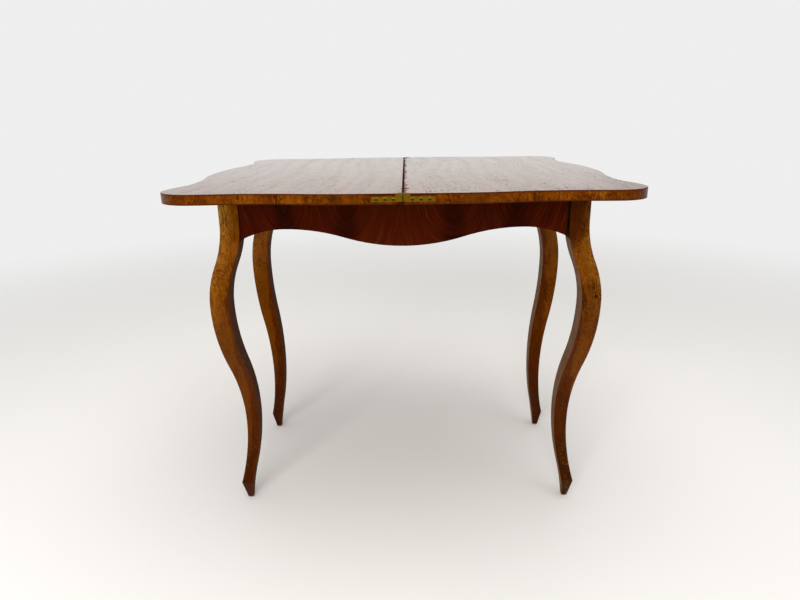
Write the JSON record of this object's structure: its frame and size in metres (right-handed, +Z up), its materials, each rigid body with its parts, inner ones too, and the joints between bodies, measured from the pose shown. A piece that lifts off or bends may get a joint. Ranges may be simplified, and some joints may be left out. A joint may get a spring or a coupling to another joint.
{
  "type": "folding card table",
  "caption": "Card table whose serpentine top folds on brass edge hinges and swivels on a framed base with S-curved legs and a card well.",
  "frame": {"origin": "on the floor, under the middle of the open top", "axes": "+Z up, +Y away from the viewer along the joint of the two leaves, +X to the viewer's right"},
  "size_m": [0.84, 0.826, 0.735],
  "materials": {
    "leg_wood": "french polished, golden brown with dark flecks",
    "top_veneer": "glossy red-brown mahogany veneer",
    "edge_band": "polished cross-grained veneer",
    "apron_veneer": "polished dark mahogany veneer",
    "pine": "raw, aged",
    "hardwood": "turned beech",
    "brass": "aged, satin",
    "steel": "dull, old",
    "glide": "worn"
  },
  "bodies": {
    "frame": {"leg_front_left": "leg_wood", "leg_front_right": "leg_wood", "leg_rear_left": "leg_wood", "leg_rear_right": "leg_wood", "foot_glides": "glide", "apron_front": "pine", "apron_rear": "pine", "apron_left": "pine", "apron_right": "pine", "apron_veneer_front": "apron_veneer", "apron_veneer_rear": "apron_veneer", "apron_veneer_left": "apron_veneer", "apron_veneer_right": "apron_veneer", "glue_blocks": "pine", "pivot_rail": "pine", "stop_peg": "hardwood", "well_floor": "pine", "well_cleats": "pine", "well_screws": "steel", "well_partition": "pine"},
    "lower_leaf": {"lower_leaf_core": "pine", "lower_leaf_veneer": "top_veneer", "lower_leaf_band": "edge_band", "pivot_plate": "steel", "pivot_bolt": "steel", "pivot_washer": "steel", "pivot_nut": "steel", "pivot_plate_screws": "steel", "hinge_plate_front_lower": "brass", "hinge_plate_rear_lower": "brass", "hinge_screws_lower": "brass"},
    "hinge_links": {"hinge_link_front": "brass", "hinge_link_rear": "brass", "hinge_pins": "brass"},
    "upper_leaf": {"upper_leaf_core": "pine", "upper_leaf_veneer": "top_veneer", "upper_leaf_back_veneer": "top_veneer", "upper_leaf_band": "edge_band", "hinge_plate_front_upper": "brass", "hinge_plate_rear_upper": "brass", "hinge_screws_upper": "brass"}
  },
  "joints": [
    {"name": "top_swivel", "type": "hinge", "parent": "frame", "child": "lower_leaf", "pos_m": [-0.105, 0.105, 0.717], "axis": [0, 0, 1], "range_deg": [0, 90]},
    {"name": "link_fold", "type": "hinge", "parent": "lower_leaf", "child": "hinge_links", "pos_m": [-0.0032, 0, 0.732], "axis": [0, -1, 0], "range_deg": [0, 90]},
    {"name": "leaf_fold", "type": "hinge", "parent": "hinge_links", "child": "upper_leaf", "pos_m": [0.0032, 0, 0.732], "axis": [0, -1, 0], "range_deg": [0, 90]}
  ]
}
